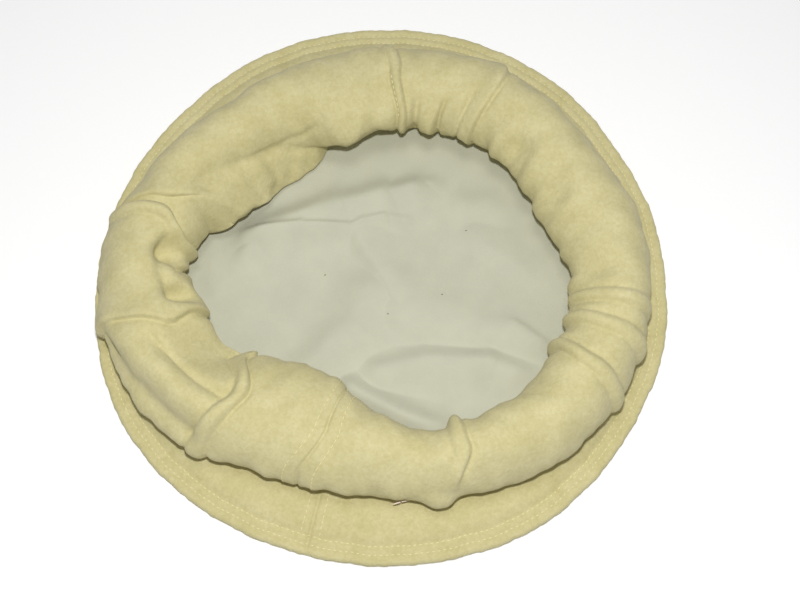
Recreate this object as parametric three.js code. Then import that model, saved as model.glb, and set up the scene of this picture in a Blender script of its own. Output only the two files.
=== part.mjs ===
import * as THREE from "three";

// A pakol lying on its crown with the opening up, in millimetres.
// +Z is up and the crown's outer face is z = 0. Azimuth is counted from +X towards +Y.
// Crown, lining and band are separate pieces of cloth, each a closed body.
// The band is one felt tube: it starts at the crown's rim as a side wall that is folded in flat,
// and the rest of its length is wound into the thick roll that goes round the head.

const FELT = 2.3; // felt thickness
const COTTON = 0.8; // lining cloth thickness
const GAP = 0.3; // clearance between two pieces of cloth
const LINING_INSET = 12; // the lining ends this far inside the crown's rim
const RIM_FLAT = 9; // the side wall lies on the crown along this width, where it is sewn down
const ROLL_POWER = 2.3; // superellipse exponent of the roll's section
const SEAT_GAP = 0.5; // the roll's underside hangs this far above the side wall at the crease
const FLAP_EDGE_Z = 7; // height of the flap's lower edge
const FLAP_EDGE_ROUND = 4.5; // height over which the flap's edge turns under
const WALL_PUFF = 1.4; // how far the side wall bulges up between rim and roll
const ROW_STEP = 15; // degrees between two rows of SECTIONS

const LINING_Z = FELT + GAP; // underside of the lining
const WALL_Z = LINING_Z + COTTON + GAP; // underside of the side wall over the lining
const WALL_TOP = WALL_Z + FELT;

// Turns rows of numbers into objects with named columns.
const table = (columns, rows) =>
  rows.map((row) => Object.fromEntries(columns.map((name, i) => [name, row[i]])));

// The hat's outline and the roll's section, every 15 degrees. crown is the rim's radius, inner and outer
// the roll's radii at its middle, top its height, lean how far the crest is pushed outwards, flap how far
// a fold of the tube reaches in below the roll, and flapTop the height of that fold's upper edge.
const SECTIONS = table(
  ["azimuth", "crown", "inner", "outer", "top", "lean", "flap", "flapTop"],
  [
    [0, 139.5, 87, 126, 48, 0, 0, 20],
    [15, 139, 78, 122, 48, 0, 0, 20],
    [30, 138, 79, 117, 48, 0, 0, 20],
    [45, 140, 78, 116, 47, 0, 0, 20],
    [60, 140.5, 80, 116, 46, 0, 0, 20],
    [75, 140.5, 79, 113, 45, 0, 0, 22],
    [90, 139.5, 74, 110, 45, 0, 0, 24],
    [105, 139, 66, 109, 45, 0, 0, 24],
    [120, 138, 76, 110, 45, 0, 11, 24],
    [135, 136, 78, 113, 45, 0, 15, 25],
    [150, 136, 83, 118, 45, 0, 18, 30],
    [165, 136.5, 80, 124, 45, 0, 0, 34],
    [180, 137.5, 89, 132, 46, 0, 0, 28],
    [195, 139, 88, 133, 46, 0, 0, 20],
    [210, 140.5, 83, 131, 46, 0, 0, 20],
    [225, 140, 70, 125, 46, 5, 0, 20],
    [240, 139, 62, 116, 45, 8, 0, 20],
    [255, 138.5, 64.5, 114, 44, 7, 0, 20],
    [270, 139.5, 71, 114, 45, 3, 0, 20],
    [285, 140.5, 88, 118, 46, 0, 0, 20],
    [300, 142, 91, 123, 47, 0, 0, 20],
    [315, 141, 93, 127, 48, 0, 0, 20],
    [330, 140, 92.5, 129, 48, 0, 0, 20],
    [345, 140.5, 92, 128.5, 48, 0, 0, 20],
  ],
);

// Sharp folds across the roll, each along a line given by its azimuth on the inner side, the crest and the
// outer side. half is half the fold's width, height its height (negative for a furrow), before and after
// the depth of the creases beside it, and from and to the section angles that it runs between.
const TUCKS = table(
  ["inside", "crest", "outside", "half", "height", "before", "after", "from", "to"],
  [
    [82.2, 85.3, 88, 2.5, 2.2, 0.9, 0.9, -40, 215],
    [55.3, 55.4, 58.2, 3, 1.9, 1.2, 0.2, -40, 215],
    [346.1, 346.2, 348, 3.4, 1.8, 1.5, 0.7, -40, 215],
    [340.5, 338.9, 338.6, 3.6, 2.2, 0.8, 0.3, -40, 215],
    [330.9, 328.7, 326.8, 3.6, 2.4, 1, 1, -40, 215],
    [291.5, 290, 285, 6.5, 3.2, 0, 1.6, -40, 215],
    [218, 229, 229, 3.4, 2.4, 1, 1, -40, 200],
    [176, 170.5, 170.6, 2.8, 2.6, 0.8, 0.8, -40, 150],
    [67.5, 66.5, 66.5, 1.3, -1.3, 0, 0, 110, 225],
    [77.3, 76.3, 76.3, 3.2, -3.2, 0, 0, 105, 225],
  ],
);

// Places where one stretch of the roll lies over the next. side is 1 where the stretch before the line
// is on top and -1 where the stretch after it is, and height is how far the upper edge stands proud.
const LAPS = table(
  ["inside", "crest", "outside", "height", "side", "from", "to"],
  [
    [198, 202, 197, 2.8, 1, -40, 200],
    [156.5, 166.4, 169, 1.4, -1, -10, 112],
    [156.5, 166.4, 169, 3, 1, 92, 172],
  ],
);

// Dents in the roll, and one swelling with a negative depth. angle is the section angle, along and around
// are the half-sizes along the roll and round its section, and turn slants the dent, in degrees.
const DENTS = table(
  ["azimuth", "angle", "depth", "along", "around", "turn"],
  [
    [182.5, 143, 8.5, 6.5, 9, 0],
    [191.5, 140, 5.5, 6, 7, 0],
    [187, 170, 4.5, 3, 12, 0],
    [181, 180, -3, 5.5, 8, 0],
    [212.5, 127, 6.5, 20, 12.5, 8],
    [157.5, 130, 2.5, 6, 5, 0],
    [37.8, 144, 1.8, 10, 9, 0],
    [18.6, 134, 1.8, 9, 9, 0],
    [353.9, 135, 1.8, 8, 9, 0],
    [281.5, 105, 2.5, 8, 16, 0],
  ],
);

// Soft ridges of the lining, each a line between two points with its height and half-width.
const WRINKLES = table(
  ["x1", "y1", "x2", "y2", "height", "half"],
  [
    [-58, 34, 8, 52, 2.2, 9],
    [-12, 4, -40, -42, 1.8, 14],
    [0, -22, 62, -34, 2.4, 8],
    [30, 44, 66, 8, 1.2, 14],
  ],
);

// Section angles, in degrees: 180 is the roll's inner side, 90 its crest, 0 its outer side.
const UNDER_INSIDE = 262;
const UNDER_OUTSIDE = -72;
const CREST_LINE = 95;
const INSIDE_LINE = 160;
const OUTSIDE_LINE = 25;

const SECTION_STEPS = 22; // facets round the roll's section
const EVEN_STEP = 5; // degrees between columns where the roll is smooth
const FOLD_COLUMNS = 5; // columns across each sharp fold
const LAP_HALF = 2; // half the width that a lap's columns cover
const MEAN_RADIUS = 100; // the roll's mean radius, for turning widths into degrees
const SECTION_RADIUS = 21; // the roll's mean section radius
const CENTRE_X = -1; // the azimuths' centre, from the middle of the crown's box

const radians = THREE.MathUtils.degToRad;
const degrees = THREE.MathUtils.radToDeg;
const clamp01 = (t) => THREE.MathUtils.clamp(t, 0, 1);
const ease = (t) => THREE.MathUtils.smoothstep(t, 0, 1);
const signedPower = (x, p) => Math.sign(x) * Math.abs(x) ** p;
const bell = (x) => Math.exp(-x * x);

// Difference of two azimuths, between -180 and 180 degrees.
const turnBetween = (a, b) => THREE.MathUtils.euclideanModulo(a - b + 180, 360) - 180;

// The smaller of a and b, with the corner rounded over a width k.
function softMin(a, b, k) {
  const h = clamp01(0.5 + (0.5 * (b - a)) / k);
  return b + (a - b) * h - k * h * (1 - h);
}

// A column of SECTIONS at any azimuth, on a closed Catmull-Rom curve through its rows.
function section(name, azimuth) {
  const count = SECTIONS.length;
  const x = THREE.MathUtils.euclideanModulo(azimuth, 360) / ROW_STEP;
  const k = Math.floor(x);
  const [a, b, c, d] = [-1, 0, 1, 2].map((j) => SECTIONS[(k + j + count) % count][name]);
  const f = x - k;
  return b + 0.5 * f * (c - a + f * (2 * a - 5 * b + 4 * c - d + f * (3 * (b - c) + d - a)));
}

// The bare roll's section: a superellipse with the crest leaning out, and the flap as a second lobe.
function barePoint(azimuth, angle) {
  const inner = section("inner", azimuth);
  const outer = section("outer", azimuth);
  const top = section("top", azimuth);
  const c = Math.cos(radians(angle));
  const s = Math.sin(radians(angle));
  const middle = (top + WALL_Z) / 2;
  const floor = c < 0 ? WALL_Z : WALL_TOP + SEAT_GAP;
  const rise = s > 0 ? top - middle : middle - floor;
  const lean = section("lean", azimuth) * Math.max(s, 0) ** 2;
  let r = (inner + outer) / 2 + ((outer - inner) / 2) * signedPower(c, 2 / ROLL_POWER) + lean;
  const z = middle + rise * signedPower(s, 2 / ROLL_POWER);
  const flap = section("flap", azimuth);
  if (c < 0) {
    const flapTop = section("flapTop", azimuth);
    const above = Math.max(z - flapTop, 0);
    const slope = clamp01((flapTop - z) / (flapTop - FLAP_EDGE_Z)) ** 0.75;
    const turned = Math.sqrt(Math.max(1 - ((FLAP_EDGE_Z - z) / FLAP_EDGE_ROUND) ** 2, 0));
    const reach = z > FLAP_EDGE_Z ? slope : turned;
    const lobe = softMin(r, inner + 3 - (flap + 3) * reach + 5 * above, 1.5);
    r = THREE.MathUtils.lerp(r, lobe, ease((flap - 1.5) / 6));
  }
  return { r, z };
}

// How far the surface stands out from the bare roll at a column and a section angle.
function relief(column, angle) {
  const mm = radians(1) * MEAN_RADIUS;
  let out = 0;
  for (const t of TUCKS) {
    const x = turnBetween(column, t.crest) * mm;
    const reach = ease((angle - t.from) / (t.from < 0 ? 16 : 40)) * ease((t.to - angle) / 22);
    const q = Math.abs(x) / t.half;
    const ridge = t.height * (t.height < 0 ? bell(q) : Math.max(1 - q ** 3, 0));
    const creases = t.before * bell((x + t.half) / 1.1) + t.after * bell((x - t.half) / 1.1);
    out += reach * (ridge - creases);
  }
  for (const t of LAPS) {
    const x = turnBetween(column, t.crest) * mm * t.side;
    const reach = ease((angle - t.from) / 20) * ease((t.to - angle) / 25);
    const lip = x < 0 ? Math.sqrt(1 - (1 - clamp01(-x / 1.8)) ** 2) * bell(x / 10) : 0;
    out += reach * (t.height * lip - 0.9 * bell(x / 2));
  }
  for (const t of DENTS) {
    const x = turnBetween(column, t.azimuth) * mm;
    const place = new THREE.Vector2(x, radians(angle - t.angle) * SECTION_RADIUS);
    place.rotateAround(new THREE.Vector2(), -radians(t.turn));
    out -= t.depth * bell(Math.hypot(place.x / t.along, place.y / t.around) ** 1.5);
  }
  out += 0.5 * Math.sin(radians(7 * column + 1.3 * angle));
  out += 0.35 * Math.sin(radians(13 * column - 2.1 * angle + 40));
  return out * ease((angle - UNDER_OUTSIDE) / 30) * ease((UNDER_INSIDE - angle) / 30);
}

// Fold lines in order of azimuth, with how far each strays to the inside and the outside of the roll.
const FOLD_LINES = [...TUCKS, ...LAPS]
  .map((t) => ({ crest: t.crest, inside: t.inside - t.crest, outside: t.outside - t.crest }))
  .sort((a, b) => a.crest - b.crest);

// A fold line's stray at a column, interpolated between the neighbouring fold lines.
function stray(side, column) {
  const last = FOLD_LINES.length - 1;
  const next = FOLD_LINES.findIndex((f) => f.crest > column);
  const after = FOLD_LINES[next < 0 ? 0 : next];
  const before = FOLD_LINES[next < 1 ? last : next - 1];
  const span = THREE.MathUtils.euclideanModulo(after.crest - before.crest, 360);
  const share = THREE.MathUtils.euclideanModulo(column - before.crest, 360) / span;
  return THREE.MathUtils.lerp(before[side], after[side], share);
}

// The azimuth of a column at a section angle, so that columns run along the folds.
function columnAzimuth(column, angle) {
  const inside = ease((angle - CREST_LINE) / (INSIDE_LINE - CREST_LINE));
  const outside = ease((CREST_LINE - angle) / (CREST_LINE - OUTSIDE_LINE));
  const insideEnd = ease((UNDER_INSIDE - angle) / 40);
  const outsideEnd = ease((angle - UNDER_OUTSIDE) / 30);
  return (
    column + stray("inside", column) * inside * insideEnd + stray("outside", column) * outside * outsideEnd
  );
}

// A point of the finished roll.
function rollPoint(column, angle) {
  const azimuth = columnAzimuth(column, angle);
  const at = barePoint(azimuth, angle);
  const before = barePoint(azimuth, angle + 1);
  const after = barePoint(azimuth, angle - 1);
  const along = new THREE.Vector2(after.r - before.r, after.z - before.z).normalize();
  const out = relief(column, angle);
  return {
    azimuth,
    r: at.r - along.y * out,
    z: Math.max(at.z + along.x * out, WALL_Z),
  };
}

// The closed outline of the band at one column: rim, underside, roll, crease, and the side wall's top.
function bandOutline(column) {
  const rim = section("crown", column);
  const crease = rollPoint(column, UNDER_OUTSIDE).r - 3;
  const wallAt = (r, z) => ({ azimuth: column, r, z });
  const points = [
    wallAt(rim, LINING_Z + 1.5),
    wallAt(rim - 0.7, LINING_Z),
    wallAt(rim - RIM_FLAT, LINING_Z),
    wallAt(rim - LINING_INSET, WALL_Z),
  ];
  for (let k = 0; k <= SECTION_STEPS; k += 1) {
    const share = k / SECTION_STEPS;
    points.push(rollPoint(column, THREE.MathUtils.lerp(UNDER_INSIDE, UNDER_OUTSIDE, share)));
  }
  const wallEnd = rim - LINING_INSET;
  const puff = Math.min(WALL_PUFF, (wallEnd - crease) * 0.08);
  points.push(
    wallAt(crease, WALL_TOP + SEAT_GAP / 2),
    wallAt(crease + 3, WALL_TOP),
    wallAt(THREE.MathUtils.lerp(crease, wallEnd, 0.55), WALL_TOP + puff / 2),
    wallAt(wallEnd, WALL_TOP + puff / 3),
    wallAt(rim - RIM_FLAT + 1, LINING_Z + FELT),
    wallAt(rim - 0.9, LINING_Z + FELT),
  );
  return points;
}

// Column azimuths: even ones, a few close together across each sharp fold, and more where fold lines
// spread apart on the inner side.
function bandColumns() {
  const laps = LAPS.filter((t, i) => LAPS.findIndex((other) => other.crest === t.crest) === i);
  const folds = [...TUCKS, ...laps.map((t) => ({ ...t, half: LAP_HALF }))].map((t) => ({
    crest: t.crest,
    half: degrees(t.half / MEAN_RADIUS),
  }));
  const columns = [];
  for (let u = 0; u < 360; u += EVEN_STEP) {
    if (folds.every((f) => Math.abs(turnBetween(u, f.crest)) > f.half * 1.6)) columns.push(u);
  }
  for (const f of folds) {
    for (let k = 0; k < FOLD_COLUMNS; k += 1) {
      columns.push(f.crest + f.half * (k / (FOLD_COLUMNS - 1) - 0.5) * 2.6);
    }
  }
  columns.sort((a, b) => a - b);
  return columns.flatMap((u, i) => {
    const next = columns[i + 1] ?? columns[0] + 360;
    const inner = columnAzimuth(next % 360, INSIDE_LINE) - columnAzimuth(u, INSIDE_LINE);
    const gap = Math.max(next - u, THREE.MathUtils.euclideanModulo(inner, 360));
    const steps = Math.ceil(gap / EVEN_STEP - 0.1);
    return Array.from({ length: steps }, (_, k) => THREE.MathUtils.lerp(u, next, k / steps));
  });
}

const toVector = ({ azimuth, r, z }) =>
  new THREE.Vector3(r * Math.cos(radians(azimuth)), r * Math.sin(radians(azimuth)), z);

// A closed body from outlines that go round the hat, each running inwards along its underside. Where the
// outline is a closed loop the last point joins the first, and with poles each end is closed on the axis.
function ringBody(outlines, poles) {
  const positions = [];
  const index = [];
  const columns = outlines.length;
  const rows = outlines[0].length;
  outlines.forEach((outline) => outline.forEach((p) => positions.push(...toVector(p).toArray())));
  const at = (i, j) => (i % columns) * rows + (j % rows);
  const bands = poles ? rows - 1 : rows;
  for (let i = 0; i < columns; i += 1) {
    for (let j = 0; j < bands; j += 1) {
      index.push(at(i, j), at(i, j + 1), at(i + 1, j + 1), at(i, j), at(i + 1, j + 1), at(i + 1, j));
    }
  }
  if (poles) {
    const first = positions.length / 3;
    positions.push(0, 0, poles.first, 0, 0, poles.last);
    for (let i = 0; i < columns; i += 1) {
      index.push(first, at(i, 0), at(i + 1, 0), first + 1, at(i + 1, rows - 1), at(i, rows - 1));
    }
  }
  const geometry = new THREE.BufferGeometry();
  geometry.setAttribute("position", new THREE.Float32BufferAttribute(positions, 3));
  geometry.setIndex(index);
  geometry.computeVertexNormals();
  return geometry;
}

// The crown: a flat felt disc whose cut edge is slightly rounded.
function crownGeometry() {
  const outlines = [];
  for (let azimuth = 0; azimuth < 360; azimuth += EVEN_STEP) {
    const rim = section("crown", azimuth);
    const profile = [
      [rim * 0.55, FELT],
      [rim - 1.6, FELT],
      [rim - 0.4, FELT - 0.5],
      [rim, FELT / 2],
      [rim - 0.4, 0.6],
      [rim - 1.8, 0],
      [rim * 0.55, 0],
    ];
    outlines.push(profile.map(([r, z]) => ({ azimuth, r, z })));
  }
  return ringBody(outlines, { first: FELT, last: 0 });
}

// Height of the lining's wrinkles at a place, dying out before the roll.
function wrinkleHeight(azimuth, r) {
  const x = r * Math.cos(radians(azimuth));
  const y = r * Math.sin(radians(azimuth));
  let height = 0;
  for (const w of WRINKLES) {
    const line = new THREE.Line3(new THREE.Vector3(w.x1, w.y1, 0), new THREE.Vector3(w.x2, w.y2, 0));
    const place = new THREE.Vector3(x, y, 0);
    const nearest = line.closestPointToPoint(place, true, new THREE.Vector3());
    height += w.height * bell(nearest.distanceTo(place) / w.half);
  }
  const edge = section("inner", azimuth) - Math.max(section("flap", azimuth), 0);
  return height * ease((edge - 4 - r) / 14);
}

// The lining: a thin cotton disc lying loosely on the crown.
function liningGeometry() {
  const shares = [0.1, 0.2, 0.3, 0.4, 0.5, 0.62, 0.8, 1];
  const outlines = [];
  for (let azimuth = 0; azimuth < 360; azimuth += 7.5) {
    const edge = section("crown", azimuth) - LINING_INSET - 1;
    const sheet = (z) =>
      shares.map((share) => ({
        azimuth,
        r: edge * share,
        z: z + wrinkleHeight(azimuth, edge * share),
      }));
    outlines.push([...sheet(LINING_Z + COTTON), ...sheet(LINING_Z).reverse()]);
  }
  const middle = LINING_Z + wrinkleHeight(0, 0);
  return ringBody(outlines, { first: middle + COTTON, last: middle });
}

function piece(name, geometry, colour, roughness) {
  const material = new THREE.MeshStandardMaterial({ color: colour, roughness, metalness: 0 });
  const mesh = new THREE.Mesh(geometry, material);
  mesh.name = name;
  return mesh;
}

const pakol = new THREE.Group();
pakol.position.x = CENTRE_X;
pakol.add(
  piece("crown", crownGeometry(), 0xd8cf9b, 0.95),
  piece("lining", liningGeometry(), 0xcbcbb7, 0.9),
  piece("rolled_band", ringBody(bandColumns().map(bandOutline)), 0xddd4a5, 0.95),
);

export default pakol;
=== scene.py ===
import bpy
import numpy as np
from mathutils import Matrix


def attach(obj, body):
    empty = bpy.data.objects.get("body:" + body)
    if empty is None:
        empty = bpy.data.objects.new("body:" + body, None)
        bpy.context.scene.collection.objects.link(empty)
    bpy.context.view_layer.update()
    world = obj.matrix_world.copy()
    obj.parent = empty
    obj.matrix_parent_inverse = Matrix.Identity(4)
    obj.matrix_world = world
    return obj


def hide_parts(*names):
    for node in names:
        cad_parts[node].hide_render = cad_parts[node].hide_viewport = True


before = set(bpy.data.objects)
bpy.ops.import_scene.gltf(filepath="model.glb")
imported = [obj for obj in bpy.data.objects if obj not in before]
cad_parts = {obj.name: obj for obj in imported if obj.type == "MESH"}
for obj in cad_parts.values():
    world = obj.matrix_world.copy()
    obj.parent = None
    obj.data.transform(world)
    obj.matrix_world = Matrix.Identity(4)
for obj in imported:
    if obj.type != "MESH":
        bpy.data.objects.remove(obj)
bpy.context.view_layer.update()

# ---------------------------------------------------------------------------------------------
# Crown. A flat disc of cream wool felt, about 28 cm across and 2.3 mm thick, that the hat lies
# on. The band's edge and the disc's edge are sewn together by two rows of topstitching, so the
# disc is slightly pressed in along them.
# ---------------------------------------------------------------------------------------------
MM = 0.001
CENTRE_X = -1.0  # the azimuths' centre, from the middle of the crown's box, in mm
FELT = 2.3
COTTON = 0.8
GAP = 0.3
RIM_EVERY_15 = [138.9, 138.8, 138.0, 140.0, 140.5, 140.5, 139.5, 139.0, 138.0, 136.0, 136.0, 136.5,
                137.5, 139.0, 140.5, 140.0, 139.0, 138.5, 139.5, 140.5, 142.0, 141.0, 140.0, 140.5]
RIM_WAVES = [(31, 0.16, 10), (47, 0.12, 70), (83, 0.10, 200), (137, 0.09, 30), (199, 0.08, 120)]
ROW_OUTER = 4.6  # distance of the outer stitch row from the rim
ROW_INNER = 8.4
ROW_RADIUS = 133.0  # mean radius of the stitch rows
RIM_STITCHES = 324  # in each row
STITCH = 1.9  # length of one stitch, and 0.7 mm to the next
THREAD = 0.22  # half the thread's thickness
SUNK = 0.3  # how far a stitch's ends dip below the felt
CROWN_COLUMNS = 600


def around(values, azimuth):
    """Value at any azimuth on a closed Catmull-Rom curve through evenly spaced values."""
    values = np.asarray(values, float)
    x = np.asarray(azimuth, float) % 360 / (360 / len(values))
    k = np.floor(x).astype(int)
    f = x - k
    a, b, c, d = (values[(k + j) % len(values)] for j in (-1, 0, 1, 2))
    return b + 0.5 * f * (c - a + f * (2 * a - 5 * b + 4 * c - d + f * (3 * (b - c) + d - a)))


def ease(t):
    """0 below 0, 1 above 1, and a smooth S between."""
    t = np.clip(t, 0, 1)
    return t * t * (3 - 2 * t)


def bell(x):
    """A bump of height 1 and half-width 1."""
    return np.exp(-np.square(x))


def turn(a, b):
    """Difference of two azimuths, from -180 to 180 degrees."""
    return (np.asarray(a) - b + 180) % 360 - 180


def ripple(azimuth, waves):
    """Sum of sines round the hat, with a row of (count, amplitude, phase) for each."""
    return sum(amount * np.sin(np.radians(count * azimuth + phase)) for count, amount, phase in waves)


def rim_radius(azimuth):
    """The rim's radius: the cut outline and the small waves that sewing leaves in it."""
    return around(RIM_EVERY_15, azimuth) + ripple(azimuth, RIM_WAVES)


def to_frame(azimuth, r, z):
    """Metres in the frame, from degrees and millimetres about the azimuths' centre."""
    angle = np.radians(azimuth)
    azimuth, r, z = np.broadcast_arrays(angle, r, z)
    return np.stack([r * np.cos(angle) + CENTRE_X, r * np.sin(angle), z], -1) * MM


def ring_mesh(name, points, poles=False):
    """A closed body from a grid of points, columns round the hat and rows along each outline. Rows join
    end to end, or with poles each end is closed by one point at the middle of its first ring."""
    columns, rows = points.shape[:2]
    i = np.arange(columns)[:, None]
    j = np.arange(rows - 1 if poles else rows)[None, :]
    corner = lambda di, dj: ((i + di) % columns) * rows + (j + dj) % rows
    faces = np.stack([corner(0, 0), corner(0, 1), corner(1, 1), corner(1, 0)], -1).reshape(-1, 4)
    points = points.reshape(-1, 3)
    faces = faces.tolist()
    if poles:
        first, last = points.reshape(columns, rows, 3)[:, [0, -1]].mean(0)
        n = len(points)
        points = np.vstack([points, first, last])
        here = np.arange(columns) * rows
        after = np.roll(here, -1)
        faces += np.stack([np.full(columns, n), here, after], -1).tolist()
        faces += np.stack([np.full(columns, n + 1), after + rows - 1, here + rows - 1], -1).tolist()
    mesh = bpy.data.meshes.new(name)
    mesh.from_pydata(points, [], faces)
    mesh.shade_smooth()
    mesh.update()
    piece = bpy.data.objects.new(name, mesh)
    bpy.context.scene.collection.objects.link(piece)
    return piece


def linear(hex_colour):
    """Linear RGBA from an sRGB hex value."""
    srgb = np.array([int(hex_colour[i:i + 2], 16) for i in (1, 3, 5)]) / 255
    rgb = np.where(srgb <= 0.04045, srgb / 12.92, ((srgb + 0.055) / 1.055) ** 2.4)
    return (*rgb.tolist(), 1.0)


def node(material, kind, settings=None, inputs=None):
    """Adds a node with its settings and inputs. An input is a value, or a socket to link from."""
    tree = material.node_tree
    new = tree.nodes.new(kind)
    for key, value in (settings or {}).items():
        setattr(new, key, value)
    for key, value in (inputs or {}).items():
        if isinstance(value, bpy.types.NodeSocket):
            tree.links.new(value, new.inputs[key])
        else:
            new.inputs[key].default_value = value
    return new


def new_material(name):
    """An empty node material and its Principled shader."""
    material = bpy.data.materials.new(name)
    material.use_nodes = True
    return material, material.node_tree.nodes["Principled BSDF"]


def ramp(material, fac, stops):
    """A colour ramp through (position, hex colour) stops."""
    new = node(material, "ShaderNodeValToRGB", inputs={"Fac": fac})
    elements = new.color_ramp.elements
    while len(elements) < len(stops):
        elements.new(0.5)
    for element, (position, colour) in zip(elements, stops):
        element.position = position
        element.color = linear(colour)
    return new.outputs["Color"]


def thread_mesh(name, start, end, normal, radius, sunk):
    """Many short pieces of thread as one mesh. Each is a tube of three rings closed by a point at both ends.
    It stands half out of the cloth in its middle, and its ends dip below the cloth."""
    share = np.array([0.0, 0.14, 0.5, 0.86, 1.0])
    dip = np.array([1.0, 0.5, 0.0, 0.5, 1.0]) * sunk
    along = (end - start) / np.linalg.norm(end - start, axis=1, keepdims=True)
    across = np.cross(along, normal)
    middle = start[:, None] + (end - start)[:, None] * share[:, None] - normal[:, None] * dip[:, None]
    phi = np.radians(np.arange(6) * 60)[None, None, :, None]
    size = radius * np.array([0.8, 1.0, 0.8])[None, :, None, None]
    outward = normal[:, None, None] * np.cos(phi) + across[:, None, None] * np.sin(phi)
    rings = middle[:, 1:4, None] + size * outward
    points = np.concatenate([middle[:, [0, 4]], rings.reshape(len(start), 18, 3)], 1)
    j = np.arange(2)[:, None]
    k = np.arange(6)[None, :]
    corner = lambda dj, dk: 2 + (j + dj) * 6 + (k + dk) % 6
    sides = np.stack([corner(0, 0), corner(0, 1), corner(1, 1), corner(1, 0)], -1).reshape(-1, 4)
    k = np.arange(6)
    first = np.stack([np.zeros(6, int), 2 + (k + 1) % 6, 2 + k], -1)
    last = np.stack([np.ones(6, int), 14 + k, 14 + (k + 1) % 6], -1)
    faces = []
    for base in range(0, len(start) * 20, 20):
        faces += (sides + base).tolist() + (first + base).tolist() + (last + base).tolist()
    mesh = bpy.data.meshes.new(name)
    mesh.from_pydata(points.reshape(-1, 3), [], faces)
    mesh.shade_smooth()
    piece = bpy.data.objects.new(name, mesh)
    bpy.context.scene.collection.objects.link(piece)
    return piece


def sewing_thread():
    """Pale yellow cotton sewing thread. Lighter and a little shinier than the felt."""
    material, shader = new_material("sewing_thread")
    shader.inputs["Base Color"].default_value = linear("#E4DBAA")
    shader.inputs["Roughness"].default_value = 0.6
    shader.inputs["Specular IOR Level"].default_value = 0.4
    return material


def pressed_wool_felt():
    """Pressed wool felt, fulled and lightly brushed. Matt, with a short pale nap that brightens towards the
    edges, clouds of slightly different cream 11 mm across, and matted fibres about half a millimetre long."""
    material, shader = new_material("pressed_wool_felt")
    place = node(material, "ShaderNodeTexCoord").outputs["Object"]
    clouds = node(material, "ShaderNodeTexNoise", inputs={
        "Vector": place, "Scale": 1 / (11 * MM), "Detail": 3.0, "Roughness": 0.55})
    mottle = node(material, "ShaderNodeTexNoise", inputs={
        "Vector": place, "Scale": 1 / (1.9 * MM), "Detail": 5.0, "Roughness": 0.7, "Distortion": 0.6})
    fibres = node(material, "ShaderNodeTexNoise", inputs={
        "Vector": place, "Scale": 1 / (0.7 * MM), "Detail": 5.0, "Roughness": 0.75, "Distortion": 1.5})
    tone = ramp(material, clouds.outputs["Fac"], [(0.3, "#C9C18F"), (0.7, "#D3CB9D")])
    fine = ramp(material, mottle.outputs["Fac"], [(0.36, "#F2F0E8"), (0.64, "#FFFFFF")])
    colour = node(material, "ShaderNodeMix", {"data_type": "RGBA", "blend_type": "MULTIPLY"},
                  {"Factor": 1.0, "A": tone, "B": fine})
    lumps = node(material, "ShaderNodeBump", inputs={
        "Height": mottle.outputs["Fac"], "Strength": 0.6, "Distance": 0.4 * MM})
    nap = node(material, "ShaderNodeBump", inputs={
        "Height": fibres.outputs["Fac"], "Strength": 0.6, "Distance": 0.22 * MM,
        "Normal": lumps.outputs["Normal"]})
    material.node_tree.links.new(colour.outputs["Result"], shader.inputs["Base Color"])
    material.node_tree.links.new(nap.outputs["Normal"], shader.inputs["Normal"])
    shader.inputs["Roughness"].default_value = 0.95
    shader.inputs["Specular IOR Level"].default_value = 0.15
    shader.inputs["Sheen Weight"].default_value = 0.12
    shader.inputs["Sheen Roughness"].default_value = 0.6
    return material


def crown_points():
    """Disc of felt: out along the top face, round a soft cut edge and in along the bottom face, with a shallow
    furrow under each stitch row."""
    azimuth = np.arange(CROWN_COLUMNS)[:, None] * 360 / CROWN_COLUMNS
    rim = rim_radius(azimuth) - 0.25
    top_in = np.array([0.03, 0.15, 0.3, 0.45, 0.6, 0.75, 0.85])
    edge_depth = np.array([9.5, 6.0, 3.0, 1.2, 0.5, 0.12, 0.0, 0.12, 0.6, 1.5])
    edge_z = np.array([1, 1, 1, 0.97, 0.86, 0.68, 0.5, 0.32, 0.12, 0.02]) * FELT
    row = np.array([2.5, 3.6, ROW_OUTER, 5.6, 6.5, 7.4, ROW_INNER, 9.4, 10.5])
    under = np.array([13, 18, 26, 36, 48, 62, 76, 90, 104, 118, 130])
    r_in = rim * top_in
    r_edge = rim - edge_depth
    r_row = rim - row
    r_under = rim - under
    z_in = np.full_like(r_in, FELT)
    z_edge = np.broadcast_to(edge_z, r_edge.shape)
    furrow = 0.3 * (bell((row - ROW_OUTER) / 0.9) + bell((row - ROW_INNER) / 0.9))
    z_row = np.broadcast_to(furrow + 0.02, r_row.shape)
    z_under = np.zeros_like(r_under)
    r = np.concatenate([r_in, r_edge, r_row, r_under], 1)
    z = np.concatenate([z_in, z_edge, z_row, z_under], 1)
    return to_frame(azimuth, r, z)


felt = pressed_wool_felt()
crown = ring_mesh("crown_disc", crown_points(), poles=True)
crown.data.materials.append(felt)
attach(crown, "root")
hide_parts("crown")


def rim_row(depth, z, up):
    """Start, end and outward direction of each stitch in a row round the rim, at one depth and height."""
    azimuth = (np.arange(RIM_STITCHES) + 0.5) * 360 / RIM_STITCHES
    half = np.degrees(STITCH / 2 / ROW_RADIUS)
    ends = [to_frame(azimuth + side * half, rim_radius(azimuth + side * half) - depth, z)
            for side in (-1, 1)]
    return ends[0], ends[1], np.tile([0.0, 0.0, up], (RIM_STITCHES, 1))


def joined(rows):
    """Rows of stitches put end to end."""
    return [np.concatenate(part) for part in zip(*rows)]


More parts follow.
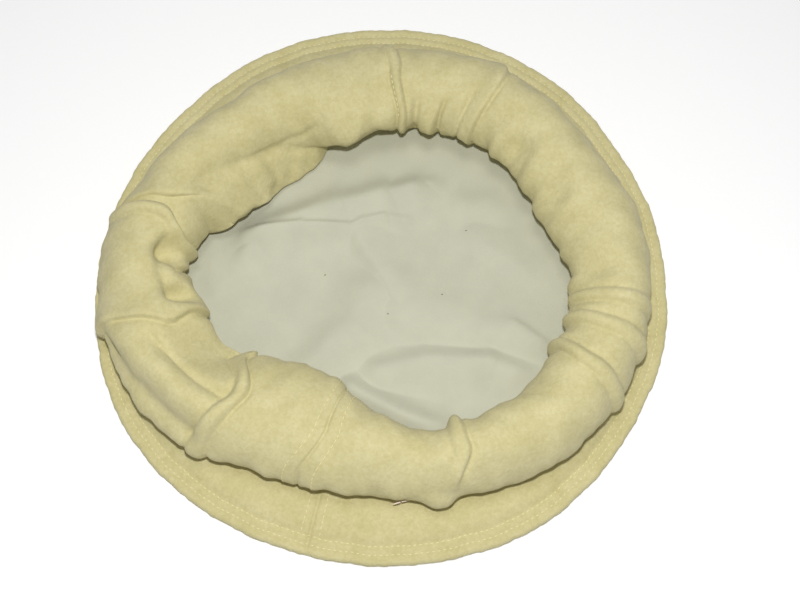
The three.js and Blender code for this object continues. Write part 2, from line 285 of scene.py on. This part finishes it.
thread = sewing_thread()
under_rows = joined([rim_row(ROW_OUTER, 0.3, -1.0), rim_row(ROW_INNER, 0.3, -1.0)])
under_stitches = thread_mesh("crown_stitches", *under_rows, THREAD * MM, SUNK * MM)
under_stitches.data.materials.append(thread)
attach(under_stitches, "root")

# ---------------------------------------------------------------------------------------------
# Lining. A disc of plain off-white cotton, caught in the rim seam and otherwise loose on the
# crown, so it lies in long soft ridges with a few sharp creases from being packed.
# ---------------------------------------------------------------------------------------------
LINING_Z = FELT + GAP
LINING_INSET = 12.0
LINING_COLUMNS = 500
LINING_TOP_RINGS = 126
LINING_UNDER_RINGS = 40
# Radius, every 15 degrees from +X, outside which the band holds the lining flat.
HELD_EVERY_15 = [98, 93, 91, 90, 90, 86, 80, 73, 68, 66, 72, 85,
                 92, 92, 88, 78, 72, 74, 81, 92, 95, 97, 97, 98]
# x1, y1, x2, y2 of the fold's crest, height, and half-width on the left and on the right of the line
LINING_FOLDS = [
    (-56.0, 28.0, -38.0, 31.5, 6.2, 8.6, 16.0),
    (-38.0, 31.5, -20.0, 36.5, 6.6, 8.8, 16.0),
    (-20.0, 36.5, 0.0, 42.5, 6.4, 8.0, 16.0),
    (0.0, 42.5, 15.0, 46.5, 5.4, 6.6, 15.0),
    (15.0, 46.5, 21.0, 49.0, 3.0, 4.2, 12.0),
    (1.0, -48.5, 23.0, -43.5, 5.2, 7.2, 11.0),
    (23.0, -43.5, 52.0, -44.5, 5.4, 7.2, 11.0),
    (52.0, -44.5, 72.0, -52.0, 4.6, 7.2, 11.0),
    (-33.0, -47.0, -13.0, -26.0, 4.6, 10.0, 14.0),
    (-13.0, -26.0, -5.0, -8.0, 4.4, 10.0, 14.0),
    (-9.0, 19.0, 1.0, 2.0, 4.0, 14.0, 6.0),
    (1.0, 2.0, 13.5, -19.0, 4.2, 14.0, 6.0),
    (13.5, -19.0, 44.0, -26.0, 4.6, 17.0, 12.0),
    (44.0, -26.0, 76.0, -36.0, 4.2, 15.0, 8.0),
    (42.0, 37.0, 54.0, 38.0, 2.2, 8.0, 12.0),
    (46.0, 20.5, 68.0, 5.0, 2.0, 12.0, 5.0),
    (-64.0, 14.0, -58.0, 19.0, 3.2, 4.5, 10.0),
    (-58.0, 19.0, -52.0, 23.0, 3.2, 4.5, 10.0),
    (-13.0, -58.5, 7.0, -69.0, 6.4, 7.5, 7.0),
    (7.0, -69.0, 26.0, -78.0, 6.4, 7.5, 7.0),
    (-84.0, 8.0, -81.5, -8.0, 1.4, 6.0, 5.0),
]
# The same for small sharp folds that lie on the others.
LINING_CREASES = [
    (-66.0, 23.0, -40.0, 25.6, 2.4, 2.2, 7.0),
    (-40.0, 25.6, -17.0, 25.6, 2.0, 1.8, 7.0),
    (-18.0, 23.6, -9.0, 28.2, 2.0, 1.6, 6.0),
    (-9.0, 28.2, 1.0, 30.8, 1.8, 1.7, 6.0),
    (1.0, 30.8, 12.0, 30.2, 1.0, 1.8, 6.0),
    (65.0, -25.0, 74.0, -32.0, 1.2, 2.2, 6.0),
    (74.0, -32.0, 83.0, -38.0, 1.2, 2.2, 6.0),
]


def distance_to(x, y, x1, y1, x2, y2):
    """Distance from (x, y) to the segment between two points."""
    along = ((x - x1) * (x2 - x1) + (y - y1) * (y2 - y1)) / ((x2 - x1) ** 2 + (y2 - y1) ** 2)
    along = np.clip(along, 0, 1)
    return np.hypot(x - x1 - along * (x2 - x1), y - y1 - along * (y2 - y1))


def fold_height(x, y, x1, y1, x2, y2, height, left, right):
    """A bell across the segment, with its own half-width on each side. Past the ends one blends into the
    other."""
    away = distance_to(x, y, x1, y1, x2, y2)
    cross = ((x2 - x1) * (y - y1) - (y2 - y1) * (x - x1)) / np.hypot(x2 - x1, y2 - y1)
    side = np.clip(cross / np.maximum(away, 1e-6), -1, 1)
    return height * bell(away / ((left + right) / 2 + (left - right) / 2 * side))


def lining_height(x, y):
    """Height of the lining over its flat place: the highest of the folds at each point, with the highest of
    the creases and slow swells added to it."""
    height = np.max([fold_height(x, y, *fold) for fold in LINING_FOLDS], axis=0)
    height = height + np.max([fold_height(x, y, *fold) for fold in LINING_CREASES], axis=0)
    height = height + 0.35 + 0.3 * np.sin(x / 11 + 1.0) * np.sin(y / 13 + 2.0)
    height = height + 0.16 * np.sin(x / 3.7 + y / 9.1) * np.sin(y / 4.9 - x / 14.0 + 1.0)
    held = around(HELD_EVERY_15, np.degrees(np.arctan2(y, x)))
    return np.maximum(height, 0) * ease((held - np.hypot(x, y)) / 18)


def plain_cotton():
    """Plain-woven unbleached cotton. Matt and slightly grey, with a weave of about 0.35 mm that is drawn at
    0.8 mm so that it shows at all, and faint slubs along both threads."""
    material, shader = new_material("plain_cotton")
    place = node(material, "ShaderNodeTexCoord").outputs["Object"]
    turned = node(material, "ShaderNodeMapping", inputs={"Vector": place, "Rotation": (0, 0, 0.25)}).outputs[0]
    weave = node(material, "ShaderNodeTexNoise", inputs={
        "Vector": turned, "Scale": 1 / (0.8 * MM), "Detail": 2.0})
    slubs = node(material, "ShaderNodeTexNoise", inputs={
        "Vector": turned, "Scale": 1 / (14 * MM), "Detail": 3.0, "Roughness": 0.5})
    colour = ramp(material, slubs.outputs["Fac"], [(0.3, "#BDBDAA"), (0.7, "#C3C3AF")])
    bump = node(material, "ShaderNodeBump", inputs={
        "Height": weave.outputs["Fac"], "Strength": 0.7, "Distance": 0.14 * MM})
    material.node_tree.links.new(colour, shader.inputs["Base Color"])
    material.node_tree.links.new(bump.outputs["Normal"], shader.inputs["Normal"])
    shader.inputs["Roughness"].default_value = 0.85
    shader.inputs["Specular IOR Level"].default_value = 0.25
    return material


def lining_points():
    """A thin disc with its two faces parallel. Rings are evenly spaced in two groups, closer together in the
    middle on the upper face, and both faces follow lining_height."""
    azimuth = np.arange(LINING_COLUMNS)[:, None] * 360 / LINING_COLUMNS
    edge = around(RIM_EVERY_15, azimuth) - LINING_INSET - 1
    share = np.concatenate([np.linspace(0.008, 0.72, LINING_TOP_RINGS - 12), np.linspace(0.74, 1, 12)])
    r = np.concatenate([edge * share, edge * np.linspace(1, 0.02, LINING_UNDER_RINGS)], 1)
    upper = np.arange(r.shape[1]) < LINING_TOP_RINGS
    lift = lining_height(r * np.cos(np.radians(azimuth)), r * np.sin(np.radians(azimuth)))
    return to_frame(azimuth, r, LINING_Z + lift + np.where(upper, COTTON, 0))


cotton = plain_cotton()
lining = ring_mesh("lining_cloth", lining_points(), poles=True)
lining.data.materials.append(cotton)
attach(lining, "root")
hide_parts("lining")

# Four dark bits of wool lint on the cotton. Matt, so they only show as tiny dark dots.
SPECKS = [(42.3, 23.8), (30.1, -10.2), (4.1, -20.2), (-26.6, 1.0)]
SPECK_HALF = 0.25  # half a speck's thickness
SPECK_REACH = (0.4, 0.25, 0.0)  # half its length
x, y = np.array(SPECKS).T
speck_z = LINING_Z + COTTON + lining_height(x, y) + 0.05
speck = np.stack([x + CENTRE_X, y, speck_z], -1) * MM
reach = np.array([SPECK_REACH]) * MM
speck_up = np.tile([0.0, 0.0, 1.0], (len(SPECKS), 1))
lint = thread_mesh("lining_specks", speck - reach, speck + reach, speck_up, SPECK_HALF * MM, 0.1 * MM)
lint_material, lint_shader = new_material("dark_lint")
lint_shader.inputs["Base Color"].default_value = linear("#6A6850")
lint_shader.inputs["Roughness"].default_value = 0.9
lint.data.materials.append(lint_material)
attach(lint, "root")

# ---------------------------------------------------------------------------------------------
# Band. One wide tube of the same felt, joined to the crown's edge. It is folded in flat over the
# crown as the side wall, and the rest of its length is wound into the thick roll. Seams and
# pinched tucks of the tube show as ridges and furrows across the roll.
# ---------------------------------------------------------------------------------------------
WALL_Z = LINING_Z + COTTON + GAP
WALL_TOP = WALL_Z + FELT
RIM_FLAT = 9.0
FOOT_INSIDE = 1.45  # superellipse exponents of the section below its widest place
FOOT_OUTSIDE = 2.4
SEAT_GAP = 0.5
FLAP_EDGE_Z = 7.0
FLAP_LIFT = 11.0  # further height of the flap's edge where it stands clear of the lining
FLAP_LIFT_AT = 157.0  # azimuth of that place, and its half-width in degrees
FLAP_LIFT_HALF = 12.0
FLAP_LEAST = 8.0  # reach below which the flap draws back out of the roll's outline
FLAP_EDGE_ROUND = 4.5
UNDER_INSIDE = 262.0  # section angles, in degrees: 180 is the inner side, 90 the crest, 0 the outer side
UNDER_OUTSIDE = -76.0
CREST_LINE = 95.0
INSIDE_LINE = 160.0
OUTSIDE_LINE = 25.0
BOW_LINE = 115.0
MEAN_RADIUS = 100.0
SECTION_RADIUS = 21.0
# Every 15 degrees from +X: inner and outer radius at the roll's middle, height, how far the crest leans out,
# how far a fold of the tube reaches in below the roll, the height of that fold's upper edge, the share of the
# height at which the roll is widest, and the superellipse exponents of its inner and outer side above there.
SECTIONS = [
    (86.8, 126, 48, 4, -40, 20, 0.5, 2, 2), (78.5, 122, 48, 3, -40, 20, 0.5, 2, 2),
    (79, 117, 48, 3, -40, 20, 0.5, 2, 2), (78, 116, 47, 3, -40, 20, 0.5, 2, 2),
    (75.8, 116, 46, 3, -40, 20, 0.5, 2, 2), (71, 113, 45, 3, -40, 20, 0.55, 2, 2),
    (67.6, 110, 45, 3, -30, 12, 0.66, 2, 2), (60.2, 109, 45, 3, -7.5, 9, 0.62, 2, 2),
    (72.5, 110, 45, 3, 6.3, 19, 0.4, 2.2, 2), (78, 113, 45, 1, 11.7, 27, 0.28, 2.4, 2),
    (83, 118, 45, 1, 16.4, 35, 0.28, 2.4, 2), (83.5, 124, 45, 1, 6, 43, 0.3, 2.4, 2),
    (90, 132, 46, 1, -40, 40, 0.4, 2.4, 1.9), (85.5, 133, 46, 1, -40, 20, 0.45, 2, 1.8),
    (81, 131, 46, 1, -40, 20, 0.48, 1.6, 1.7), (68.8, 125, 46, 4, -40, 20, 0.5, 1.7, 1.7),
    (61.7, 116, 45, 5, -40, 20, 0.5, 2.2, 1.7), (63.2, 112.5, 44, 3, -40, 20, 0.5, 2.2, 1.7),
    (75, 112, 45, 0, -40, 20, 0.5, 2.2, 1.6), (87.5, 116.5, 46, -1, -40, 20, 0.5, 2.2, 1.7),
    (89.5, 123, 47, 0, -40, 20, 0.5, 2.2, 1.8), (91.5, 127, 48, 1, -40, 20, 0.48, 2.2, 1.9),
    (91, 129, 48, 2, -40, 20, 0.48, 2.1, 2), (91.5, 128.5, 48, 4, -40, 20, 0.5, 2, 2),
]
# Azimuth on the inner side, the crest and the outer side, how far the line bows between crest and inner side,
# half-width before and after it, height, depth of the crease at each foot, and the section angles that it runs
# between. A foot without a crease runs out softly. A negative height is a furrow.
TUCKS = [
    (81.2, 85.2, 88.0, 0.0, 3.4, 3.4, 1.9, 0.6, 0.5, -40, 225),
    (56.3, 55.9, 57.8, 0.0, 2.8, 5.0, 1.7, 0.9, 0.0, 5, 225),
    (346.3, 346.4, 347.0, 0.0, 3.3, 3.3, 1.5, 0.8, 0.5, -20, 190),
    (340.0, 339.2, 338.6, 0.0, 3.5, 3.5, 1.7, 0.6, 0.5, -40, 195),
    (331.2, 328.7, 327.4, 0.0, 3.6, 3.4, 2.0, 0.6, 0.7, -40, 215),
    (293.0, 291.6, 286.5, 0.0, 5.5, 3.2, 2.0, 0.25, 1.0, 4, 215),
    (218.4, 229.3, 228.3, 1.0, 3.9, 3.9, 2.7, 0.9, 0.9, -40, 200),
    (176.8, 169.9, 171.0, 0.0, 3.2, 3.4, 2.6, 1.0, 0.3, -40, 215),
    (60.8, 60.4, 60.4, 0.0, 1.6, 1.6, -1.4, 0.0, 0.0, 95, 235),
    (68.2, 67.4, 67.0, 0.0, 1.5, 1.5, -2.2, 0.0, 0.0, 112, 235),
    (76.6, 77.2, 77.2, 0.0, 3.0, 3.0, -2.8, 0.0, 0.0, 108, 235),
    (257.8, 255.8, 251.2, 0.0, 0.85, 0.85, -1.0, 0.0, 0.0, -50, 215),
]
# The same four azimuths, height, which side is on top, and section angles.
LAPS = [
    (199.4, 199.0, 196.0, 3.0, 2.6, 1, -40, 205),
    (158.5, 166.4, 169.5, 0.0, 1.5, 1, -10, 138),
]
# Depth of a crease or hollow (negative for a ridge), half-width, and the azimuth and section angle at its
# bends.
CREASES = [
    (-2.8, 5.4, ((197.5, 42), (203.0, 57), (210.2, 66), (226.6, 68))),
    (3.2, 3.4, ((204.5, 84), (212.2, 92), (219.2, 92), (226.0, 94))),
    (4.4, 6.0, ((200.5, 17), (205.4, 25), (212.2, 30), (220.2, 31), (226.0, 28))),
    (2.2, 2.6, ((177.5, 127), (181.8, 121), (188.0, 120), (194.0, 127))),
    (4.2, 1.8, ((185.6, 148), (184.0, 165), (182.6, 200))),
    (1.3, 1.3, ((158.8, 134), (149.6, 149), (133.2, 162), (120.2, 163), (114.8, 149), (111.8, 134))),
    (0.9, 3.0, ((113.0, 128), (111.0, 106))),
]
# Azimuth, section angle, depth (negative for a bulge), half-size along and around, turn in degrees, and how
# flat the floor is.
DENTS = [
    (169.6, 14, -2.6, 2.8, 9.0, 0, 1.3), (180.6, 138, 10.0, 6.0, 8.0, 0, 1.3),
    (193.6, 138, 8.2, 4.8, 7.0, 0, 1.3), (293.5, 165, -3.0, 5.0, 12.0, 0, 1.3),
    (336.5, 180, 3.0, 4.0, 14.0, 0, 1.3), (213.0, 132, 6.0, 17.0, 15.0, 8, 1.6),
    (157.5, 130, 1.8, 6.0, 5.0, 0, 1.3), (284.0, -14, -4.0, 6.5, 8.0, 0, 1.3),
    (37.8, 144, 2.8, 7.0, 8.0, 0, 1.3), (18.6, 134, 2.6, 6.5, 8.0, 0, 1.3),
    (353.9, 128, 2.2, 6.0, 8.0, 0, 1.3), (281.5, 105, 2.0, 8.0, 16.0, 0, 1.3),
    (29.0, 160, -1.6, 6.0, 9.0, 0, 1.3), (46.0, 165, -1.6, 6.0, 9.0, 0, 1.3),
]
# Waves round the roll: how many, height in mm, phase, and how many degrees of phase for each degree of
# section angle.
SWELLS = [(7, 0.5, 0, 1.3), (13, 0.35, 40, -2.1), (22, 0.3, 100, 3.1), (35, 0.22, 200, -4.3),
          (58, 0.12, 20, 5.7)]
INSIDE_WAVES = [(26, 0.7, 20), (41, 0.55, 80), (73, 0.3, 10)]
INSIDE_ANGLE = 175.0  # section angle of these waves' middle, and the azimuth of the side where they are strong
INSIDE_STRONG = 35.0
OUTSIDE_WAVES = [(37, 0.3, 60), (61, 0.25, 0), (97, 0.2, 130)]
OUTSIDE_ANGLE = 5.0
LIP_ROUND = 2.6  # radius of a lap's lip, and the distance over which the lip sinks back
LIP_LENGTH = 9.0
CREASE_IN = 2.0  # how far the crease between roll and wall lies in from the roll's outer foot
WALL_SEAM = 256.2
WALL_SEAM_DEPTH = 1.2
WALL_SEAM_HALF = 0.8
COLUMNS = 750
ROLL_ROWS = 88
WALL_ROWS = 20


def power(x, p):
    """x to the power p, keeping its sign."""
    return np.sign(x) * np.abs(x) ** p


def soft_min(a, b, k):
    """The smaller of a and b, with the corner rounded over a width k."""
    h = np.clip(0.5 + 0.5 * (b - a) / k, 0, 1)
    return b + (a - b) * h - k * h * (1 - h)


def section(index, azimuth):
    """One column of SECTIONS at any azimuth."""
    return around([row[index] for row in SECTIONS], azimuth)


def bare_section(azimuth, angle):
    """Radius and height of the smooth roll: a superellipse in four quarters, each with its own exponent,
    whose crest leans out. On the inner side it is joined to the flap, a second lobe that slopes down and in to
    its own rounded edge. Where the table gives no flap, the lobe is moved out behind the superellipse."""
    inner, outer, top, lean, flap, flap_top, widest, inner_power, outer_power = (
        section(k, azimuth) for k in range(9))
    c = np.cos(np.radians(angle))
    s = np.sin(np.radians(angle))
    middle = WALL_Z + widest * (top - WALL_Z)
    floor = np.where(c < 0, WALL_Z, WALL_TOP + SEAT_GAP)
    rise = np.where(s > 0, top - middle, middle - floor)
    foot = np.where(c < 0, FOOT_INSIDE, FOOT_OUTSIDE)
    squareness = 2 / np.where(s < 0, foot, np.where(c < 0, inner_power, outer_power))
    r = (inner + outer) / 2 + (outer - inner) / 2 * power(c, squareness) + lean * np.clip(s, 0, 1) ** 2
    z = middle + rise * power(s, squareness)
    height = np.clip((flap_top - middle) / (top - middle), 0, 1)
    inset = (1 - height ** inner_power) ** (1 / inner_power)
    shoulder = (inner + outer) / 2 - (outer - inner) / 2 * inset + 1.5
    edge = FLAP_EDGE_Z + FLAP_LIFT * bell(turn(azimuth, FLAP_LIFT_AT) / FLAP_LIFT_HALF)
    slope = np.clip((flap_top - z) / np.maximum(flap_top - edge, 1), 0, 1) ** 0.6
    turned = np.sqrt(np.clip(1 - ((edge - z) / FLAP_EDGE_ROUND) ** 2, 0, 1))
    reach = np.where(z > edge, slope, turned)
    clear = 5 * np.maximum(z - flap_top, 0) + 0.12 * np.maximum(FLAP_LEAST - flap, 0) ** 2
    lobe = soft_min(r, shoulder - (shoulder - inner + flap) * reach + clear, 1.5)
    return np.where(c < 0, lobe, r), z


def tuck_profile(x, before, after, crease_before, crease_after):
    """Height across a tuck: a round dome that ends steeply at a creased foot, or a long soft slope at a foot
    without one."""
    half = np.where(x < 0, before, after)
    creased = np.where(x < 0, crease_before, crease_after) > 0.2
    q = np.abs(x) / half
    return np.where(creased, np.clip(1 - q ** 2.2, 0, 1), np.clip(1 - (q / 1.5) ** 2, 0, 1) ** 2)


def fold_offset(angle, lean_in, lean_out, bow):
    """How far a fold line's azimuth is from its azimuth on the crest, at a section angle."""
    to_inside = ease((angle - CREST_LINE) / (INSIDE_LINE - CREST_LINE)) * ease((UNDER_INSIDE - angle) / 40)
    to_outside = ease((CREST_LINE - angle) / (CREST_LINE - OUTSIDE_LINE)) * ease((angle + 58) / 30)
    return lean_in * to_inside + lean_out * to_outside + bow * bell((angle - BOW_LINE) / 20)


def column_azimuth(u, angle):
    """Azimuth of a column at a section angle. Columns lean and bow with the folds, by amounts interpolated
    between neighbouring fold lines."""
    lines = sorted((f[1], f[0] - f[1], f[2] - f[1], f[3]) for f in TUCKS + LAPS)
    crest, inside, outside, bow = np.array(lines).T
    crest = np.concatenate([[crest[-1] - 360], crest, [crest[0] + 360]])
    lean_in, lean_out, bowed = (np.interp(u, crest, np.concatenate([v[-1:], v, v[:1]]))
                                for v in (inside, outside, bow))
    return u + fold_offset(angle, lean_in, lean_out, bowed)


def from_line(azimuth, angle, fold):
    """Millimetres from a fold's line, positive towards higher azimuths."""
    inside, crest, outside, bow = fold[:4]
    offset = fold_offset(angle, inside - crest, outside - crest, bow)
    return turn(azimuth, crest + offset) * np.radians(1) * MEAN_RADIUS


def roll_relief(azimuth, angle):
    """How far the surface stands out from the smooth roll: ridges with pinched creases at their feet, laps
    with a rounded lip, creases, dents, and slow swells."""
    out = np.zeros(azimuth.shape)
    for fold in TUCKS:
        before, after, height, crease_before, crease_after, start, end = fold[4:]
        x = from_line(azimuth, angle, fold)
        reach = ease((angle - start) / (16 if start < 0 else 40)) * ease((end - angle) / 22)
        ridge = height * (bell(x / before) if height < 0 else
                          tuck_profile(x, before, after, crease_before, crease_after))
        pinch = crease_before * bell((x + before) / 1.3) + crease_after * bell((x - after) / 1.3)
        out += reach * (ridge - pinch)
    for fold in LAPS:
        height, side, start, end = fold[4:]
        x = from_line(azimuth, angle, fold) * side
        reach = ease((angle - start) / 20) * ease((end - angle) / 35)
        lip = np.sqrt(1 - (1 - np.clip(-x / LIP_ROUND, 0, 1)) ** 2) * bell(np.clip(-x, 0, None) / LIP_LENGTH)
        gap = np.where(x > 0, bell(x / 2), bell(x / 0.3))
        out += reach * (height * np.where(x < 0, lip, 0) - gap)
    mm = np.radians(1) * MEAN_RADIUS
    arc = np.radians(1) * SECTION_RADIUS
    for depth, half, bends in CREASES:
        x = turn(azimuth, bends[0][0]) * mm
        y = angle * arc
        at = [(turn(place, bends[0][0]) * mm, height * arc) for place, height in bends]
        away = np.min([distance_to(x, y, *a, *b) for a, b in zip(at, at[1:])], axis=0)
        out -= depth * bell(away / half)
    for place, at, depth, along, across, slant, flat in DENTS:
        x = turn(azimuth, place) * mm
        y = (angle - at) * arc
        c = np.cos(np.radians(slant))
        s = np.sin(np.radians(slant))
        x, y = x * c + y * s, y * c - x * s
        out -= depth * np.exp(-((x / along) ** 2 + (y / across) ** 2) ** flat)
    for count, height, phase, slant in SWELLS:
        out += height * np.sin(np.radians(count * azimuth + slant * angle + phase))
    strong = ease((62 - np.abs(turn(azimuth, INSIDE_STRONG))) / 20)
    out += ripple(azimuth, INSIDE_WAVES) * bell((angle - INSIDE_ANGLE) / 28) * (0.3 + 0.7 * strong)
    out += ripple(azimuth, OUTSIDE_WAVES) * bell((angle - OUTSIDE_ANGLE) / 25)
    return out


def roll_surface(azimuth, angle):
    """Radius and height of the finished roll: the bare section, moved by the relief along its own outward
    direction."""
    r, z = bare_section(azimuth, angle)
    r1, z1 = bare_section(azimuth, angle + 0.5)
    r0, z0 = bare_section(azimuth, angle - 0.5)
    length = np.maximum(np.hypot(r1 - r0, z1 - z0), 1e-6)
    fade = ease((angle - UNDER_OUTSIDE) / 30) * ease((UNDER_INSIDE - angle) / 30)
    out = roll_relief(azimuth, angle) * fade
    return r + (z1 - z0) / length * out, np.maximum(z - (r1 - r0) / length * out, WALL_Z)


def band_columns():
    """Column azimuths, closer together across each fold and where leaning lines spread the columns out."""
    u = np.arange(0, 360, 0.02)
    lines = np.array([column_azimuth(u, angle) for angle in (95, 130, 180)])
    spread = np.diff(lines, axis=1, append=lines[:, :1] + 360).max(0) / 0.02
    near = sum(bell(turn(u, f[1]) / 3.2) for f in TUCKS + LAPS)
    share = np.cumsum(spread * (1 + 1.2 * np.minimum(near, 1)))
    return np.interp(np.arange(COLUMNS) + 0.5, share / share[-1] * COLUMNS, u)


def wall_height(depth, width):
    """Height of the side wall's upper face at a depth in from the rim: a rounded edge, a bead, two furrows
    where the stitch rows pull it down, a step up onto the lining, and a low puff before the roll."""
    edge = FELT * np.sqrt(np.clip(1 - (1 - np.clip(depth / 1.3, 0, 1)) ** 2, 0, 1))
    step = (WALL_TOP - LINING_Z - FELT) * ease((depth - 8.5) / 5)
    rows = 0.4 * bell((depth - ROW_OUTER) / 0.9) + 0.4 * bell((depth - ROW_INNER) / 0.9)
    bead = 0.3 * bell((depth - 2.4) / 1.5) + 0.15 * bell((depth - 6.5) / 1.2)
    puff = np.minimum(1.4, width * 0.08) * np.sin(np.pi * np.clip((depth - 9) / (width - 9 + 1e-6), 0, 1))
    return LINING_Z + edge + step + bead - rows + np.maximum(puff, 0)


def band_points():
    """The closed outline at each column: in along the underside, up the roll's inner side, over the crest and
    down to the crease, and out along the side wall's upper face."""
    u = band_columns()[:, None]
    rim = rim_radius(u)
    under_depth = np.array([0.25, 0.9, 4.0, RIM_FLAT, LINING_INSET, 17.0])
    under_z = np.array([LINING_Z + 0.6, LINING_Z, LINING_Z, LINING_Z, WALL_Z, WALL_Z])
    angle = np.linspace(UNDER_INSIDE, UNDER_OUTSIDE, ROLL_ROWS)[None, :]
    azimuth = column_azimuth(u, angle)
    r, z = roll_surface(azimuth, angle)
    crease = r[:, -1:] - CREASE_IN
    width = rim - crease
    share = np.linspace(0, 1, WALL_ROWS)[None, :]
    rows = np.array([12.5, 11.0, 9.9, 9.1, ROW_INNER, 7.7, 7.0, 6.3, 5.5, ROW_OUTER, 3.8, 3.0, 2.2, 1.4,
                     0.8, 0.4, 0.12, 0.0])[None, :]
    depth = np.concatenate([rows[:, :1] + (width - rows[:, :1] - 1.0) * (1 - share[:, :-1]),
                            np.broadcast_to(rows, (len(u), rows.shape[1]))], 1)
    from_seam = turn(u, WALL_SEAM) * np.radians(1) * (rim - depth)
    wall_z = wall_height(depth, width) - WALL_SEAM_DEPTH * bell(from_seam / WALL_SEAM_HALF) * ease(depth / 3)
    points = [
        to_frame(u, rim - under_depth, under_z[None, :]),
        to_frame(azimuth, r, z),
        to_frame(u, crease, np.full_like(crease, WALL_TOP + SEAT_GAP / 2)),
        to_frame(u, rim - depth, wall_z),
    ]
    return np.concatenate(points, 1)


band = ring_mesh("felt_band", band_points())
band.data.materials.append(felt)
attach(band, "root")
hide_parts("rolled_band")

# Azimuth on the inner side, the crest and the outer side, bow, distance from that line in mm, and the section
# angles between which a row of stitches runs up over the roll.
ROLL_STITCH_ROWS = [
    (257.8, 255.8, 251.2, 0.0, -5.6, -28, 172),
    (257.8, 255.8, 251.2, 0.0, 6.6, -28, 172),
    (81.2, 85.2, 88.0, 0.0, 2.2, 104, 156),
]
WALL_STITCH_ROWS = [254.3, 258.2]
STITCH_PITCH = 2.6


def roll_point(azimuth, angle):
    """Point of the roll in the frame, at an azimuth and a section angle."""
    r, z = roll_surface(azimuth, angle)
    return to_frame(azimuth, r, z)


def roll_row(inside, crest, outside, bow, beside, low, high):
    """Start, end and outward direction of the stitches of one row over the roll."""
    half = np.degrees(STITCH / 2 / SECTION_RADIUS)
    angle = np.arange(low, high, half * 2 * STITCH_PITCH / STITCH)
    start = crest + np.degrees(beside / MEAN_RADIUS)
    line = lambda at: start + fold_offset(at, inside - crest, outside - crest, bow)
    azimuth = line(angle)
    normal = np.cross(roll_point(azimuth + 0.2, angle) - roll_point(azimuth - 0.2, angle),
                      roll_point(azimuth, angle - 1) - roll_point(azimuth, angle + 1))
    normal /= np.linalg.norm(normal, axis=1, keepdims=True)
    return roll_point(line(angle - half), angle - half), roll_point(line(angle + half), angle + half), normal


def wall_row(azimuth):
    """Start, end and outward direction of the stitches of one row across the side wall."""
    rim = rim_radius(azimuth)
    width = rim - roll_surface(np.array([azimuth]), np.array([UNDER_OUTSIDE]))[0] + CREASE_IN
    depth = np.arange(ROW_INNER + 2.1, width[0] - 3, STITCH_PITCH)
    ends = [to_frame(azimuth, rim - depth - side * STITCH / 2, wall_height(depth + side * STITCH / 2, width))
            for side in (-1, 1)]
    return ends[0], ends[1], np.tile([0.0, 0.0, 1.0], (len(depth), 1))


band_rows = joined([rim_row(ROW_OUTER, wall_height(np.array([ROW_OUTER]), 20.0), 1.0),
                    rim_row(ROW_INNER, wall_height(np.array([ROW_INNER]), 20.0), 1.0)]
                   + [roll_row(*row) for row in ROLL_STITCH_ROWS] + [wall_row(at) for at in WALL_STITCH_ROWS])
band_stitches = thread_mesh("band_stitches", *band_rows, THREAD * MM, SUNK * MM)
band_stitches.data.materials.append(thread)
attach(band_stitches, "root")

# A loose end of pinkish white thread, caught in the crease below the roll. Paler and shinier than the felt.
LOOSE = np.array([(6.5, -113.9, 14.0), (10.3, -113.0, 14.8), (14.3, -111.7, 13.0)])
LOOSE_HALF = 0.35
loose_at = (LOOSE + [CENTRE_X, 0, 0]) * MM
loose_up = np.tile([0.0, 0.0, 1.0], (2, 1))
loose_end = thread_mesh("loose_thread", loose_at[:-1], loose_at[1:], loose_up, LOOSE_HALF * MM, 0.05 * MM)
loose_material, loose_shader = new_material("loose_thread")
loose_shader.inputs["Base Color"].default_value = linear("#F2DFD4")
loose_shader.inputs["Roughness"].default_value = 0.6
loose_end.data.materials.append(loose_material)
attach(loose_end, "root")

# ---------------------------------------------------------------------------------------------
# Studio: a white paper floor, a flash just above the camera, a weak lamp overhead and white light from
# all round, as the photograph was lit.
# ---------------------------------------------------------------------------------------------
EYE = (8.835 * MM, -236.219 * MM, 590.288 * MM)
ELEVATION = 69.085  # of the camera, in degrees above the floor

camera_data = bpy.data.cameras.new("camera")
camera_data.lens = 58.5
camera_data.sensor_width = 36.0
camera_data.clip_start = 0.01
camera = bpy.data.objects.new("camera", camera_data)
camera.location = EYE
camera.rotation_euler = (np.radians(90 - ELEVATION), 0, 0)
bpy.context.scene.collection.objects.link(camera)
bpy.context.scene.camera = camera

floor_mesh = bpy.data.meshes.new("floor")
floor_mesh.from_pydata([(-4, -4, 0), (4, -4, 0), (4, 4, 0), (-4, 4, 0)], [], [(0, 1, 2, 3)])
floor = bpy.data.objects.new("floor", floor_mesh)
bpy.context.scene.collection.objects.link(floor)
# White paper. Matt, and a little brighter than its light alone makes it, as in an overexposed photograph.
paper, paper_shader = new_material("white_paper")
paper_shader.inputs["Base Color"].default_value = (0.93, 0.93, 0.93, 1)
paper_shader.inputs["Roughness"].default_value = 1.0
paper_shader.inputs["Emission Color"].default_value = (1, 1, 1, 1)
paper_shader.inputs["Emission Strength"].default_value = 0.1
floor.data.materials.append(paper)

world = bpy.data.worlds.new("studio")
world.use_nodes = True
world.node_tree.nodes["Background"].inputs["Color"].default_value = (1, 1, 1, 1)
world.node_tree.nodes["Background"].inputs["Strength"].default_value = 0.25
bpy.context.scene.world = world

LAMPS = [
    ("flash", (0.009, -0.175, 0.613), 10.6, 0.012),
    ("overhead", (0.0, 0.0, 1.2), 10, 0.15),
]
for name, place, watts, radius in LAMPS:
    lamp_data = bpy.data.lights.new(name, "POINT")
    lamp_data.energy = watts
    lamp_data.shadow_soft_size = radius
    lamp = bpy.data.objects.new(name, lamp_data)
    lamp.location = place
    bpy.context.scene.collection.objects.link(lamp)

bpy.context.scene.view_settings.view_transform = "Standard"
